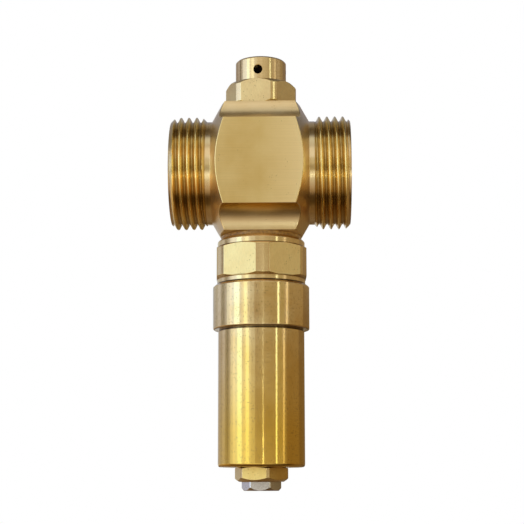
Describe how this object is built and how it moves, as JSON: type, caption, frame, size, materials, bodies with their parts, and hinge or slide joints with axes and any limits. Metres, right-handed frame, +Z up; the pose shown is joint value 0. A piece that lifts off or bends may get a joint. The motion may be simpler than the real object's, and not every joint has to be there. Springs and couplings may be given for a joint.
{
  "type": "freeze protection valve",
  "caption": "Brass in-line freeze protection valve with male threaded ports, coved block, air vent cap on top and a thermostatic drain sleeve below.",
  "frame": {"origin": "where the port axis meets the valve axis, in the middle of the block", "axes": "+X along the ports, +Z up the valve axis towards the air vent, -Y towards the camera in the picture"},
  "size_m": [0.0524, 0.036, 0.1265],
  "materials": {
    "cast_brass": "brushed",
    "turned_brass": "polished",
    "stainless": "satin",
    "spring_steel": "satin",
    "copper": "satin",
    "soft_rubber": "matte",
    "fibre": "matte",
    "wax": "matte"
  },
  "bodies": {
    "valve": {"valve_body": "cast_brass", "vent_cap": "turned_brass", "vent_oring": "soft_rubber", "vent_retainer": "stainless", "vent_spring": "spring_steel", "drain_cartridge": "turned_brass", "cartridge_gasket": "fibre", "drain_sleeve": "turned_brass", "sleeve_oring": "soft_rubber", "guide_plate": "stainless", "return_spring": "spring_steel", "overtravel_spring": "spring_steel", "spring_plate": "stainless", "end_bush": "turned_brass", "end_screw": "stainless"},
    "vent_poppet": {"vent_plug": "turned_brass", "vent_seal": "soft_rubber"},
    "drain_shutter": {"shutter": "turned_brass", "shutter_seal": "soft_rubber", "shutter_nut": "turned_brass", "thermostat_piston": "stainless"},
    "thermostat": {"thermostat_guide": "turned_brass", "thermostat_cup": "copper", "thermostat_boot": "soft_rubber", "wax_charge": "wax"}
  },
  "joints": [
    {"name": "vent_poppet_slide", "type": "slide", "parent": "valve", "child": "vent_poppet", "axis": [0, 0, 1], "range_m": [-0.0018, 0], "stiffness_N_per_m": 60, "springref_m": 0.005, "deforming": ["vent_spring"]},
    {"name": "drain_shutter_slide", "type": "slide", "parent": "valve", "child": "drain_shutter", "axis": [0, 0, 1], "range_m": [-0.003, 0], "stiffness_N_per_m": 400, "springref_m": 0.01, "deforming": ["return_spring"]},
    {"name": "thermostat_slide", "type": "slide", "parent": "valve", "child": "thermostat", "axis": [0, 0, 1], "range_m": [-0.003, 0], "stiffness_N_per_m": 600, "springref_m": 0.01, "deforming": ["overtravel_spring"]}
  ]
}
